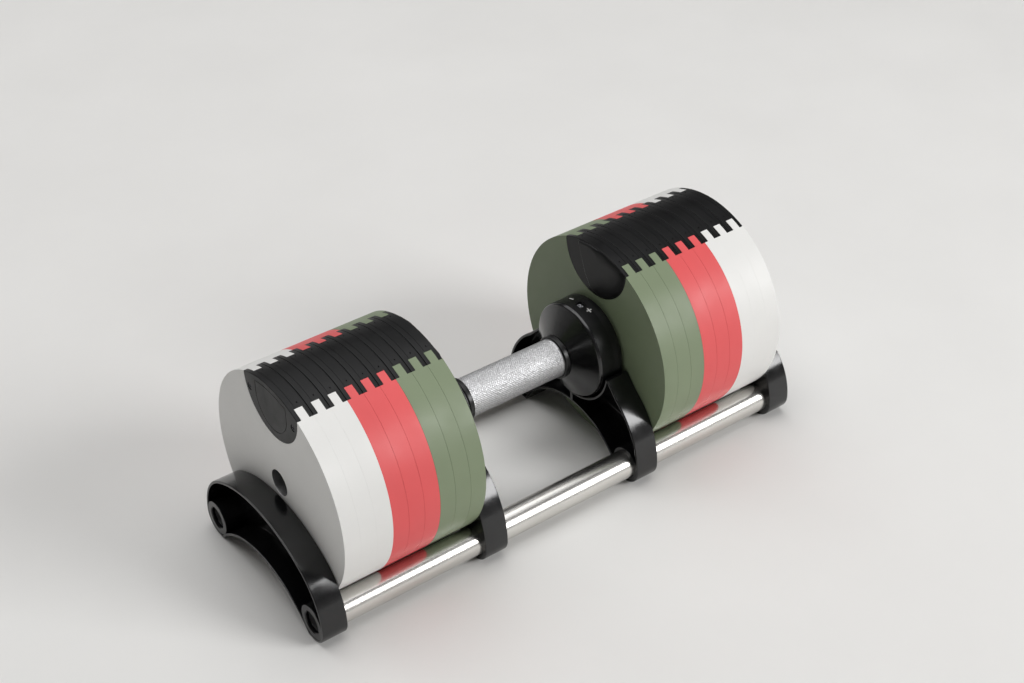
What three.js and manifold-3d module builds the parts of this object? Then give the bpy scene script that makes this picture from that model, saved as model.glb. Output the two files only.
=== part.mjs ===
// An adjustable dumbbell resting in its cradle.
//
// Frame: millimetres, +Z up, +X along the dumbbell towards its dial end, -Y towards the
// user. The origin is on the surface it stands on, under the middle of the grip.
import * as THREE from 'three';
import { mergeVertices } from 'three/addons/utils/BufferGeometryUtils.js';
import Module from 'manifold-3d';

const wasm = await Module();
wasm.setup();

const GAP = 0.3; // running clearance between neighbouring pieces
const AXIS_HEIGHT = 91; // dumbbell axis above the surface

// Plate stacks
const PLATES_PER_SIDE = 9;
const PLATE_RADIUS = 90;
const STACK_INNER = 86.86; // |x| of the face next to the handle
const STACK_OUTER = 210.33; // |x| of the outermost face
const PITCH = (STACK_OUTER - STACK_INNER) / PLATES_PER_SIDE;
const PLATE_GAP = 0.32;
const CENTRE_HOLE_RADIUS = 10.75;
const PLATE_SEGMENTS = 44;

// Moulded insert in the notch at the top of every plate
const INSERT_CENTRE_Z = 82.5;
const INSERT_RADIUS = 37.5;
const CORE_RADIUS = 28;
const FLANGE = 3.3; // thickness of each of the two flanges that grip the steel web
const PAD_HEIGHT = 2; // raised pad on the face towards the handle
const PAD_HALF_WIDTH = 21.5;
const PAD_BOTTOM_Z = 50.5;
const PAD_TOP_Z = 86;
const SCREW_Y = 30.4;
const SCREW_Z = 71.7;
const SCREW_HEAD_RADIUS = 2.7;
const SCREW_HEAD = 2;
const SCREW_SHANK_RADIUS = 1.4;
const SCREW_LENGTH = 8;

// Cradle
const TUBE_Y = 70.9;
const TUBE_Z = -74.3;
const TUBE_RADIUS = 11.86;
const TUBE_BORE = 10.2;
const TUBE_HALF_LENGTH = 229;
const END_INNER = 211;
const END_OUTER = 232.3;
const SUPPORT_INNER = 65;
const SUPPORT_OUTER = 86.2;
const RIM = 2.4; // wall of the moulded brackets
const WEB = 3;
const FOOT_Z = -AXIS_HEIGHT;
const FOOT_RADIUS = 16;
const SIDE_Y = 87; // half the width of every bracket
const FOOT_CENTRE_Y = SIDE_Y - FOOT_RADIUS;
const FOOT_CENTRE_Z = FOOT_Z + FOOT_RADIUS;
const END_TOP_RADIUS = 120;
const END_TOP_CENTRE_Z = -132.2;
const END_ARCH_RADIUS = 86;
const END_ARCH_CENTRE_Z = -148;
const SHOULDER_RADIUS = 71;
const SHOULDER_LEAN = THREE.MathUtils.degToRad(54.7);
const SADDLE_ARCH_RADIUS = 70;
const SADDLE_ARCH_CENTRE_Z = -124;
const HORN_Z = -5.5;
const HORN_WIDTH = 3;
const BOSS_RADIUS = 14.4;
const BOSS_LIP = 3;
const BOSS_HOLE = 9;
const SADDLE_RADIUS = 43;
const POST_HALF_WIDTH = 1.5;
const POST_TOP = -42.7;

// Handle
const GRIP_RADIUS = 16.2;
const GRIP_BORE = 12.4;
const GRIP_HALF_LENGTH = 66;
const GRIP_FLANGE = 3.8;
const GRIP_FLANGE_RADIUS = 22;
const NECK_INNER = 44.8;
const NECK_OUTER = 49.2;
const NECK_RADIUS = 18.4;
const CONE_START = 49.5;
const CONE_END = 63.7;
const CONE_RADIUS = 40;
const DRUM_START = 64;
const DRUM_LIP_START = 78;
const DRUM_END = 84.5;
const DRUM_RADIUS = 40.8;
const DRUM_LIP_RADIUS = 42.4;
const DRUM_BORE = 39.6;
const DRUM_FLOOR = 81.2; // start of the plate that closes the drum
const WINDOW_START = 69.7;
const WINDOW_END = 75.1;
const WINDOW_HALF_WIDTH = 3.5;

// Number ring, which turns with the grip
const RING_START = GRIP_HALF_LENGTH + GAP;
const RING_WEB = 2.6;
const RING_END = 77.5;
const RING_RADIUS = 39.2;
const RING_WALL = 2;
const RING_LIP = 2; // notched lip at the open end
const RING_LIP_BORE = 31.4;
const RING_POSITIONS = 10;

// Selector rods: two half-round bars, back to back, driven by helical grooves in the grip
const ROD_RADIUS = 10.2;
const ROD_FLAT = 0.4;
const ROD_TIP = 84;
const ROD_TAIL = -63.6;
const ROD_TRAVEL = STACK_OUTER - STACK_INNER;
const STUD_X = ROD_TRAVEL / 2;
const STUD_RADIUS = 1.3;
const STUD_TIP = 14;
const TWIST = THREE.MathUtils.degToRad(324); // grip turn from no plates to all plates
const GROOVE_RADIUS = 2.2;
const GROOVE_CENTRE = 12.7;
const GROOVE_OVERRUN = 0.02; // share of the groove that runs on past each end of the travel

// Lock pin and its spring
const PIN_X = 79.4;
const PIN_RADIUS = 1.3;
const PIN_BOTTOM = -42.4;
const PIN_SHOULDER_RADIUS = 2;
const PIN_SHOULDER = [-28.6, -27.2];
const PIN_STEM_RADIUS = 0.8;
const PIN_TOP = -24;
const PIN_DROP = 4; // how far the spring pushes the pin down once the handle is lifted
const PIN_LUG = [-30.6, -28.6];
const SEAT_Z = -20;
const SEAT_THICKNESS = 2;
const SPRING_RADIUS = 1.5;
const SPRING_WIRE = 0.3;
const SPRING_TURNS = 4;

const finish = (color, roughness, metalness) =>
  new THREE.MeshStandardMaterial({ color, roughness, metalness });

const materials = {
  white: () => finish(0xe1e1dc, 0.45, 0.1),
  red: () => finish(0xd9494f, 0.45, 0.1),
  green: () => finish(0x77856a, 0.45, 0.1),
  plastic: () => finish(0x1c1c1e, 0.5, 0),
  chrome: () => finish(0xd8d8d6, 0.12, 1),
  satin: () => finish(0xc4c6c8, 0.38, 1),
  dark: () => finish(0x101012, 0.45, 0),
  steel: () => finish(0x8d9094, 0.35, 1),
  digits: () => finish(0x26262a, 0.55, 0),
};

// A closed three.js geometry as a solid that can be joined and cut.
function solid(geometry) {
  const bare = geometry.index ? geometry : geometry.clone();
  bare.deleteAttribute('normal');
  bare.deleteAttribute('uv');
  const merged = mergeVertices(bare, 1e-4);
  return new wasm.Manifold(new wasm.Mesh({
    numProp: 3,
    vertProperties: Float32Array.from(merged.attributes.position.array),
    triVerts: Uint32Array.from(merged.index.array),
  }));
}

function mesh(name, body, material) {
  const { numProp, vertProperties, triVerts } = body.getMesh();
  const geometry = new THREE.BufferGeometry();
  geometry.setAttribute('position', new THREE.BufferAttribute(vertProperties, numProp));
  geometry.setIndex(new THREE.BufferAttribute(triVerts, 1));
  geometry.computeVertexNormals();
  const out = new THREE.Mesh(geometry, material);
  out.name = name;
  return out;
}

// An outline drawn in (y, z), made solid from x0 to x1.
function slab(shape, x0, x1, curveSegments = 12) {
  const geometry = new THREE.ExtrudeGeometry(shape, {
    depth: x1 - x0,
    bevelEnabled: false,
    curveSegments,
  });
  const turn = new THREE.Matrix4().makeBasis(
    new THREE.Vector3(0, 1, 0),
    new THREE.Vector3(0, 0, 1),
    new THREE.Vector3(1, 0, 0),
  );
  geometry.applyMatrix4(turn);
  geometry.translate(x0, 0, 0);
  return solid(geometry);
}

// A cylinder along X, centred on (y, z).
function rod(radius, x0, x1, segments, y = 0, z = 0) {
  const geometry = new THREE.CylinderGeometry(radius, radius, x1 - x0, segments);
  geometry.rotateZ(-Math.PI / 2);
  geometry.translate((x0 + x1) / 2, y, z);
  return solid(geometry);
}

// A cylinder along Z.
function upright(radius, z0, z1, segments, x, y = 0) {
  const geometry = new THREE.CylinderGeometry(radius, radius, z1 - z0, segments);
  geometry.rotateX(Math.PI / 2);
  geometry.translate(x, y, (z0 + z1) / 2);
  return solid(geometry);
}

function block(x, y, z) {
  const geometry = new THREE.BoxGeometry(x[1] - x[0], y[1] - y[0], z[1] - z[0]);
  geometry.translate((x[0] + x[1]) / 2, (y[0] + y[1]) / 2, (z[0] + z[1]) / 2);
  return solid(geometry);
}

// A section given as [x, radius] points, anticlockwise, closed and turned about X.
function turned(section, segments) {
  const points = [...section, section[0]].map(([x, r]) => new THREE.Vector2(r, x));
  const geometry = new THREE.LatheGeometry(points.reverse(), segments);
  geometry.rotateZ(-Math.PI / 2);
  return solid(geometry);
}

// The same solid on the other side of the handle.
const mirrored = (body) => body.mirror([1, 0, 0]);
const onSide = (body, side) => (side > 0 ? body : mirrored(body));

// The part of a plate's disc that lies inside a circle round the insert's centre.
function insertOutline() {
  const d = INSERT_CENTRE_Z;
  const z = (PLATE_RADIUS ** 2 - INSERT_RADIUS ** 2 + d ** 2) / (2 * d);
  const y = Math.sqrt(PLATE_RADIUS ** 2 - z ** 2);
  const dip = Math.atan2(z - d, y);
  const shape = new THREE.Shape();
  shape.absarc(0, 0, PLATE_RADIUS, Math.atan2(z, y), Math.atan2(z, -y), false);
  shape.absarc(0, d, INSERT_RADIUS, Math.PI - dip, 2 * Math.PI + dip, false);
  return shape;
}

// A ring that leaves only the core of the insert between its flanges.
function waistOutline() {
  const shape = new THREE.Shape();
  shape.absarc(0, INSERT_CENTRE_Z, INSERT_RADIUS + 5, 0, 2 * Math.PI, false);
  const core = new THREE.Path();
  core.absarc(0, INSERT_CENTRE_Z, CORE_RADIUS, 0, 2 * Math.PI, true);
  shape.holes.push(core);
  return shape;
}

// The notch that takes the insert, run on past the rim. Its flat facets lie outside the
// circle that they stand for, so the round insert has room all the way.
function notchBody(radius, x0, x1) {
  const curveSegments = 5;
  const facet = (1.1 * Math.PI) / (2 * curveSegments);
  const outside = radius / Math.cos(facet / 2);
  const overhang = PLATE_RADIUS + 3;
  const rise = Math.asin((overhang - INSERT_CENTRE_Z) / outside);
  const shape = new THREE.Shape();
  shape.absarc(0, INSERT_CENTRE_Z, outside, Math.PI - rise, 2 * Math.PI + rise, false);
  return slab(shape, x0, x1, curveSegments);
}

function padOutline() {
  const foot = PAD_BOTTOM_Z + 9;
  const shape = new THREE.Shape();
  shape.moveTo(PAD_HALF_WIDTH, PAD_TOP_Z);
  shape.quadraticCurveTo(0, PAD_TOP_Z + 5.5, -PAD_HALF_WIDTH, PAD_TOP_Z);
  shape.lineTo(-11, foot);
  shape.quadraticCurveTo(-8, PAD_BOTTOM_Z, 0, PAD_BOTTOM_Z);
  shape.quadraticCurveTo(8, PAD_BOTTOM_Z, 11, foot);
  return shape;
}

const plateStart = (n) => STACK_INNER + (n - 1) * PITCH + PLATE_GAP / 2;
const plateEnd = (n) => STACK_INNER + n * PITCH - PLATE_GAP / 2;

function plateBody(n, side) {
  const [x0, x1] = [plateStart(n), plateEnd(n)];
  let body = rod(PLATE_RADIUS, x0, x1, PLATE_SEGMENTS);
  body = body.subtract(rod(CENTRE_HOLE_RADIUS, x0 - 1, x1 + 1, 14));
  const step = FLANGE + GAP;
  body = body.subtract(notchBody(CORE_RADIUS + GAP, x0 - 1, x1 + 1));
  body = body.subtract(notchBody(INSERT_RADIUS + GAP, x0 - 1, x0 + step));
  body = body.subtract(notchBody(INSERT_RADIUS + GAP, x1 - step, x1 + 1));
  if (n === PLATES_PER_SIDE) {
    for (const y of [-SCREW_Y, SCREW_Y]) {
      body = body.subtract(rod(SCREW_SHANK_RADIUS + GAP, x1 - 11, x1, 8, y, SCREW_Z));
    }
  }
  return onSide(body, side);
}

function insertBody(n, side) {
  const [x0, x1] = [plateStart(n), plateEnd(n)];
  let body = slab(insertOutline(), x0, x1, 5);
  body = body.subtract(slab(waistOutline(), x0 + FLANGE, x1 - FLANGE, 9));
  if (n === 1) {
    body = body.add(slab(padOutline(), x0 - PAD_HEIGHT, x0 + 1, 4));
  }
  if (n === PLATES_PER_SIDE) {
    for (const y of [-SCREW_Y, SCREW_Y]) {
      const head = SCREW_HEAD + 2 * GAP;
      body = body.subtract(rod(SCREW_HEAD_RADIUS + GAP, x1 - head, x1 + 1, 12, y, SCREW_Z));
      body = body.subtract(rod(SCREW_SHANK_RADIUS + GAP, x1 - FLANGE - 1, x1, 8, y, SCREW_Z));
    }
  }
  return onSide(body, side);
}

function screwBody(y, side) {
  const top = plateEnd(PLATES_PER_SIDE) - GAP;
  let body = rod(SCREW_HEAD_RADIUS, top - SCREW_HEAD, top, 12, y, SCREW_Z);
  body = body.add(rod(SCREW_SHANK_RADIUS, top - SCREW_LENGTH, top - 1, 8, y, SCREW_Z));
  const slot = [top - 1, top + 1];
  body = body.subtract(block(slot, [y - 1.8, y + 1.8], [SCREW_Z - 0.4, SCREW_Z + 0.4]));
  body = body.subtract(block(slot, [y - 0.4, y + 0.4], [SCREW_Z - 1.8, SCREW_Z + 1.8]));
  return onSide(body, side);
}

// Both kinds of bracket share their sides, their two round feet and the arched opening
// between the feet. The outline is drawn anticlockwise, inset by the wall's thickness
// for the pocket.
function addLeftFoot(shape, side, lean, foot) {
  shape.absarc(-side.y, FOOT_CENTRE_Z, side.radius, Math.PI - lean, Math.PI, false);
  shape.absarc(-FOOT_CENTRE_Y, FOOT_CENTRE_Z, foot, Math.PI, 1.5 * Math.PI, false);
}

function addRightFoot(shape, side, lean, foot) {
  shape.absarc(FOOT_CENTRE_Y, FOOT_CENTRE_Z, foot, 1.5 * Math.PI, 2 * Math.PI, false);
  shape.absarc(side.y, FOOT_CENTRE_Z, side.radius, 0, lean, false);
}

function addArch(shape, radius, centreZ, foot) {
  const rise = FOOT_CENTRE_Z - foot - centreZ;
  const angle = Math.asin(rise / radius);
  shape.absarc(0, centreZ, radius, Math.PI - angle, angle, true);
}

// End brackets: one low arch over another.
function endOutline(inset) {
  const rise = FOOT_CENTRE_Z - END_TOP_CENTRE_Z;
  const blend = (END_TOP_RADIUS ** 2 - SIDE_Y ** 2 - rise ** 2) / (2 * (END_TOP_RADIUS - SIDE_Y));
  const side = { radius: blend - inset, y: SIDE_Y - blend };
  const lean = Math.atan2(rise, side.y);
  const foot = FOOT_RADIUS - inset;
  const shape = new THREE.Shape();
  shape.absarc(0, END_TOP_CENTRE_Z, END_TOP_RADIUS - inset, lean, Math.PI - lean, false);
  addLeftFoot(shape, side, lean, foot);
  addArch(shape, END_ARCH_RADIUS + inset, END_ARCH_CENTRE_Z, foot);
  addRightFoot(shape, side, lean, foot);
  return shape;
}

// Brackets under the handle: the same, with two horns round a saddle for the drum.
function saddleOutline(inset) {
  const side = { radius: SHOULDER_RADIUS - inset, y: SIDE_Y - SHOULDER_RADIUS };
  const foot = FOOT_RADIUS - inset;
  const saddle = SADDLE_RADIUS + inset;
  const hornZ = HORN_Z - inset;
  const hornAngle = Math.asin(hornZ / saddle);
  const hornY = saddle * Math.cos(hornAngle) + HORN_WIDTH - inset;
  const shape = new THREE.Shape();
  shape.moveTo(hornY, hornZ);
  const third = (Math.PI + 2 * hornAngle) / 3;
  for (let part = 0; part < 3; part += 1) {
    const from = hornAngle - part * third;
    shape.absarc(0, 0, saddle, from, from - third, true);
  }
  shape.lineTo(-hornY, hornZ);
  addLeftFoot(shape, side, SHOULDER_LEAN, foot);
  addArch(shape, SADDLE_ARCH_RADIUS + inset, SADDLE_ARCH_CENTRE_Z, foot);
  addRightFoot(shape, side, SHOULDER_LEAN, foot);
  return shape;
}

function endBracket(side) {
  let body = slab(endOutline(0), END_INNER, END_OUTER, 4);
  body = body.subtract(slab(endOutline(RIM), END_INNER + WEB, END_OUTER + 1, 4));
  for (const y of [-TUBE_Y, TUBE_Y]) {
    body = body.add(rod(BOSS_RADIUS, END_INNER + 1, END_OUTER, 20, y, TUBE_Z));
    const boreEnd = END_OUTER - BOSS_LIP;
    body = body.subtract(rod(TUBE_RADIUS + GAP, END_INNER - 1, boreEnd, 20, y, TUBE_Z));
    body = body.subtract(rod(BOSS_HOLE, boreEnd - 1, END_OUTER + 1, 12, y, TUBE_Z));
  }
  return onSide(body, side);
}

function innerBracket(side) {
  let body = slab(saddleOutline(0), SUPPORT_INNER, SUPPORT_OUTER, 4);
  body = body.subtract(slab(saddleOutline(RIM), SUPPORT_INNER - 1, SUPPORT_OUTER - WEB, 4));
  for (const y of [-TUBE_Y, TUBE_Y]) {
    body = body.add(rod(BOSS_RADIUS, SUPPORT_INNER, SUPPORT_OUTER - 1, 20, y, TUBE_Z));
  }
  if (side > 0) {
    body = body.add(block(
      [SUPPORT_INNER, SUPPORT_OUTER - 1],
      [-POST_HALF_WIDTH, POST_HALF_WIDTH],
      [-SADDLE_RADIUS - 10, POST_TOP],
    ));
  }
  for (const y of [-TUBE_Y, TUBE_Y]) {
    const bore = TUBE_RADIUS + GAP;
    body = body.subtract(rod(bore, SUPPORT_INNER - 1, SUPPORT_OUTER + 1, 20, y, TUBE_Z));
  }
  return onSide(body, side);
}

function tubeBody(y) {
  const outer = rod(TUBE_RADIUS, -TUBE_HALF_LENGTH, TUBE_HALF_LENGTH, 24, y, TUBE_Z);
  return outer.subtract(rod(TUBE_BORE, -TUBE_HALF_LENGTH - 1, TUBE_HALF_LENGTH + 1, 16, y, TUBE_Z));
}

// The line that a stud follows along the grip's bore. The rods travel outwards as the
// grip turns, so the groove of the right rod falls back from the top by the same turn.
class GrooveLine extends THREE.Curve {
  constructor(side) {
    super();
    this.side = side;
  }

  getPoint(t, target = new THREE.Vector3()) {
    const travelled = t * (1 + 2 * GROOVE_OVERRUN) - GROOVE_OVERRUN;
    const x = this.side * (2 * travelled - 1) * STUD_X;
    const angle = this.side * Math.PI / 2 - travelled * TWIST;
    return target.set(x, GROOVE_CENTRE * Math.cos(angle), GROOVE_CENTRE * Math.sin(angle));
  }
}

function grooveCutter(side) {
  const section = new THREE.Shape();
  section.absarc(0, 0, GROOVE_RADIUS, 0, 2 * Math.PI, false);
  const geometry = new THREE.ExtrudeGeometry(section, {
    steps: 26,
    curveSegments: 4,
    extrudePath: new GrooveLine(side),
  });
  return solid(geometry);
}

function gripBody() {
  const half = GRIP_HALF_LENGTH;
  const flange = half - GRIP_FLANGE;
  let body = turned([
    [-half, GRIP_BORE],
    [half, GRIP_BORE],
    [half, GRIP_FLANGE_RADIUS],
    [flange, GRIP_FLANGE_RADIUS],
    [flange, GRIP_RADIUS],
    [-flange, GRIP_RADIUS],
    [-flange, GRIP_FLANGE_RADIUS],
    [-half, GRIP_FLANGE_RADIUS],
  ], 24);
  body = body.subtract(grooveCutter(1));
  return body.subtract(grooveCutter(-1));
}

function neckRing(side) {
  return onSide(turned([
    [NECK_INNER, GRIP_RADIUS + GAP],
    [NECK_OUTER, GRIP_RADIUS + GAP],
    [NECK_OUTER, NECK_RADIUS],
    [NECK_INNER, NECK_RADIUS],
  ], 24), side);
}

function collarBody(side) {
  const seat = GRIP_HALF_LENGTH - GRIP_FLANGE - GAP;
  return onSide(turned([
    [CONE_START, GRIP_RADIUS + GAP],
    [seat, GRIP_RADIUS + GAP],
    [seat, GRIP_FLANGE_RADIUS + GAP],
    [CONE_END, GRIP_FLANGE_RADIUS + GAP],
    [CONE_END, CONE_RADIUS],
    [CONE_START, NECK_RADIUS],
  ], 28), side);
}

// Half a circle, flat side towards the other rod: above it for +1, below it for -1.
function halfRound(radius, flat, side) {
  const y = Math.sqrt(radius ** 2 - flat ** 2);
  const start = Math.atan2(flat, y);
  const shape = new THREE.Shape();
  if (side > 0) {
    shape.absarc(0, 0, radius, start, Math.PI - start, false);
  } else {
    shape.absarc(0, 0, radius, Math.PI + start, 2 * Math.PI - start, false);
  }
  return shape;
}

function drumBody(side) {
  let body = turned([
    [DRUM_START, DRUM_BORE],
    [DRUM_FLOOR, DRUM_BORE],
    [DRUM_FLOOR, 4],
    [DRUM_END, 4],
    [DRUM_END, DRUM_LIP_RADIUS],
    [DRUM_LIP_START, DRUM_LIP_RADIUS],
    [DRUM_LIP_START, DRUM_RADIUS],
    [DRUM_START, DRUM_RADIUS],
  ], 32);
  body = body.add(rod(5, DRUM_FLOOR, DRUM_END, 16));
  const slot = halfRound(ROD_RADIUS + GAP, ROD_FLAT - GAP, side);
  body = body.subtract(slab(slot, DRUM_FLOOR - 1, DRUM_END + 1, 6));
  if (side > 0) {
    body = body.subtract(block(
      [WINDOW_START, WINDOW_END],
      [-WINDOW_HALF_WIDTH, WINDOW_HALF_WIDTH],
      [DRUM_BORE - 3, DRUM_RADIUS + 1],
    ));
    const seat = [SEAT_Z - SEAT_THICKNESS, SEAT_Z];
    const channelBottom = PIN_SHOULDER[0] - PIN_DROP - GAP;
    body = body.subtract(upright(PIN_SHOULDER_RADIUS + GAP, channelBottom, SEAT_Z, 12, PIN_X));
    body = body.add(block([PIN_X - 3, DRUM_FLOOR + 1], [-3, 3], seat));
    body = body.subtract(upright(PIN_RADIUS + GAP, PIN_BOTTOM - 2, -DRUM_BORE + 2, 12, PIN_X));
  }
  return onSide(body, side);
}

function numberRing() {
  const inside = RING_RADIUS - RING_WALL;
  let body = turned([
    [RING_START, GRIP_BORE + 0.6],
    [RING_START + RING_WEB, GRIP_BORE + 0.6],
    [RING_START + RING_WEB, inside],
    [RING_END - RING_LIP, inside],
    [RING_END - RING_LIP, RING_LIP_BORE],
    [RING_END, RING_LIP_BORE],
    [RING_END, RING_RADIUS],
    [RING_START, RING_RADIUS],
  ], 30);
  for (let n = 0; n < RING_POSITIONS; n += 1) {
    const notch = new THREE.BoxGeometry(RING_LIP + 1, 3.6, inside - RING_LIP_BORE + 1);
    notch.translate(RING_END - RING_LIP / 2 + 0.2, 0, -(inside + RING_LIP_BORE - 1) / 2);
    notch.rotateX((2 * Math.PI * n) / RING_POSITIONS);
    body = body.subtract(solid(notch));
  }
  return body;
}

function selectorRod(side) {
  const bar = slab(halfRound(ROD_RADIUS, ROD_FLAT, side), ROD_TAIL, ROD_TIP, 6);
  const stud = side > 0
    ? upright(STUD_RADIUS, ROD_RADIUS - 1.5, STUD_TIP, 10, -STUD_X)
    : upright(STUD_RADIUS, -STUD_TIP, 1.5 - ROD_RADIUS, 10, -STUD_X);
  return onSide(bar.add(stud), side);
}

function lockPin() {
  let body = upright(PIN_RADIUS, PIN_BOTTOM, PIN_SHOULDER[0] + 0.2, 12, PIN_X);
  body = body.add(upright(PIN_SHOULDER_RADIUS, PIN_SHOULDER[0], PIN_SHOULDER[1], 12, PIN_X));
  body = body.add(upright(PIN_STEM_RADIUS, PIN_SHOULDER[1] - 0.2, PIN_TOP, 8, PIN_X));
  return body.add(block([RING_END - RING_LIP, PIN_X], [-1.3, 1.3], PIN_LUG));
}

class SpringLine extends THREE.Curve {
  getPoint(t, target = new THREE.Vector3()) {
    const low = PIN_SHOULDER[1] + GAP + SPRING_WIRE;
    const high = SEAT_Z - SEAT_THICKNESS - GAP - SPRING_WIRE;
    const angle = 2 * Math.PI * SPRING_TURNS * t;
    const x = PIN_X + SPRING_RADIUS * Math.cos(angle);
    return target.set(x, SPRING_RADIUS * Math.sin(angle), low + (high - low) * t);
  }
}

function springBody() {
  const wire = new THREE.Shape();
  wire.absarc(0, 0, SPRING_WIRE, 0, 2 * Math.PI, false);
  return solid(new THREE.ExtrudeGeometry(wire, {
    steps: 8 * SPRING_TURNS,
    curveSegments: 3,
    extrudePath: new SpringLine(),
  }));
}

const bandOf = (n) => ['green', 'red', 'white'][Math.floor((n - 1) / 3)];

function stack(sideName, side) {
  const group = new THREE.Group();
  for (let n = 1; n <= PLATES_PER_SIDE; n += 1) {
    const paint = materials[bandOf(n)]();
    group.add(mesh(`plate_${sideName}_${n}`, plateBody(n, side), paint));
    group.add(mesh(`insert_${sideName}_${n}`, insertBody(n, side), materials.plastic()));
  }
  group.add(mesh(`screw_${sideName}_front`, screwBody(-SCREW_Y, side), materials.steel()));
  group.add(mesh(`screw_${sideName}_rear`, screwBody(SCREW_Y, side), materials.steel()));
  return group;
}

function cradle() {
  const group = new THREE.Group();
  group.add(mesh('bracket_end_left', endBracket(-1), materials.plastic()));
  group.add(mesh('bracket_inner_left', innerBracket(-1), materials.plastic()));
  group.add(mesh('bracket_inner_right', innerBracket(1), materials.plastic()));
  group.add(mesh('bracket_end_right', endBracket(1), materials.plastic()));
  group.add(mesh('tube_front', tubeBody(-TUBE_Y), materials.chrome()));
  group.add(mesh('tube_rear', tubeBody(TUBE_Y), materials.chrome()));
  return group;
}

function handle() {
  const group = new THREE.Group();
  group.add(mesh('grip', gripBody(), materials.satin()));
  for (const [sideName, side] of [['left', -1], ['right', 1]]) {
    group.add(mesh(`neck_ring_${sideName}`, neckRing(side), materials.dark()));
    group.add(mesh(`collar_${sideName}`, collarBody(side), materials.plastic()));
    group.add(mesh(`drum_${sideName}`, drumBody(side), materials.dark()));
    group.add(mesh(`selector_rod_${sideName}`, selectorRod(side), materials.steel()));
  }
  group.add(mesh('number_ring', numberRing(), materials.digits()));
  group.add(mesh('lock_pin', lockPin(), materials.steel()));
  group.add(mesh('lock_spring', springBody(), materials.steel()));
  return group;
}

const dumbbell = new THREE.Group();
dumbbell.add(cradle(), stack('left', -1), stack('right', 1), handle());
dumbbell.position.z = AXIS_HEIGHT;

export default dumbbell;
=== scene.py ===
"""Looks of the adjustable dumbbell in its cradle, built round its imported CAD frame.

Lengths in the helpers are millimetres measured from the dumbbell's axis: x along the
dumbbell, y away from the user, z up. place() turns them into the frame's metres.
"""
import math

import bmesh
import bpy
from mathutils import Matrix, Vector, noise


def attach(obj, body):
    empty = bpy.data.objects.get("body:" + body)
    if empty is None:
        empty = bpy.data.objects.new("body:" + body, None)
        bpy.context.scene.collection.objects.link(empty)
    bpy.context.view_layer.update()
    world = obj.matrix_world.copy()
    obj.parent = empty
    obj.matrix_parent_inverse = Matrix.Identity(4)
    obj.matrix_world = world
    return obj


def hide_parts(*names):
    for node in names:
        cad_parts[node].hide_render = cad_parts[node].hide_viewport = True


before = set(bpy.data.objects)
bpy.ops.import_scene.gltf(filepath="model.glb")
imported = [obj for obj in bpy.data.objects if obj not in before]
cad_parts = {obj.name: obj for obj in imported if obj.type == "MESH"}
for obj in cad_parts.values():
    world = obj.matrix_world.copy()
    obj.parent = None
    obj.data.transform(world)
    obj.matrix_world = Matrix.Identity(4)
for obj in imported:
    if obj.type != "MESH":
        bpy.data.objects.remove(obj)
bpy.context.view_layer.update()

MM = 0.001
AXIS = 91.0  # height of the dumbbell's axis above the floor
GAP = 0.3  # clearance between pieces that touch

# Plates and their inserts
PLATES = 9  # on each side
BANDS = ("green", "red", "white")  # from the handle outwards
PLATE_R = 89.9
STACK_INNER = 86.86
STACK_OUTER = 210.33
PITCH = (STACK_OUTER - STACK_INNER) / PLATES
PLATE_GAP = 0.11
THICK = PITCH - PLATE_GAP
HOLE_R = 10.75
INSERT_Z = 82.5  # height of the insert's centre line
INSERT_R = 37.4
CORE_R = 27.9  # the waist between an insert's two flanges
FLANGE = 3.3  # thickness of a flange, which makes the teeth
LATCH_X = (4.7, 5.5)
LATCH_ANGLE = 15.2  # degrees from the top
PAD = 1.9  # how far the innermost insert's pad stands out
PANEL_Z = 72.5  # centre of the round lower side of the outermost insert's panel
SCREW_Y = 30.4
SCREW_Z = 71.7

# Cradle
TUBE_Y = 70.9
TUBE_Z = -74.3
TUBE_R = 11.8
TUBE_BORE = 10.2
TUBE_HALF = 229.0  # half the tube's length
END_X = (211.0, 232.3)
SADDLE_X = (65.0, 86.2)
RIM = 2.4  # wall round a bracket's outline
WEB = 3.0  # wall at a bracket's back
FOOT_R = 16.0
SIDE_Y = 87.0
FOOT_Y = SIDE_Y - FOOT_R
FOOT_Z = FOOT_R - AXIS
BOSS_R = 14.4
BOSS_HOLE = 9.0
SADDLE_R = 43.0
POST_Z = (-53, -42.75)

# Handle
GRIP_R = 16.2
GRIP_BORE = 12.4
GRIP_HALF = 66.0  # half the grip's length
GRIP_FLANGE_R = 22.0
KNURL_HALF = 44.2
NECK_X = (44.8, 49.2)
NECK_R = 18.4
CONE_X = (49.5, 63.86)
CONE_RECESS_X = 61.9  # the grip's flange turns beyond this
DRUM_X = (63.95, 84.45)
DRUM_FLOOR_X = 81.2
DRUM_R = 40.8
DRUM_LIP_R = 41.15
DRUM_BORE = 39.6
WINDOW_X = (69.7, 75.1)
WINDOW_HALF = 3.5
PIN_X = 79.4  # line of the lock pin
ROD_R = 10.15
ROD_X = (-63.6, 83.95)
STUD_X = -61.7
SETTINGS = 10
STEP_NUMBER = 5  # how much the dial's number grows from one setting to the next
NUMBER_X = 72.3
WHEEL_X = (66.3, 77.5)
WHEEL_R = 39.2

# Studio, in metres and degrees
CAMERA_AIM = (0.004068, 0.0, 0.125435)
CAMERA_DISTANCE = 1.353857
CAMERA_AZIMUTH = -36.513
CAMERA_ELEVATION = 36.401
CAMERA_ROLL = -0.318
CAMERA_SENSOR = 0.036
CAMERA_LENS = 0.06055506
FLOOR_HALF = 5.0

SIDES = (("left", -1), ("right", 1))


def place(x, y, z):
    """A point measured from the dumbbell's axis, in the frame's metres."""
    return Vector((x * MM, y * MM, (z + AXIS) * MM))


# ---------------------------------------------------------------- outlines


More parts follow.
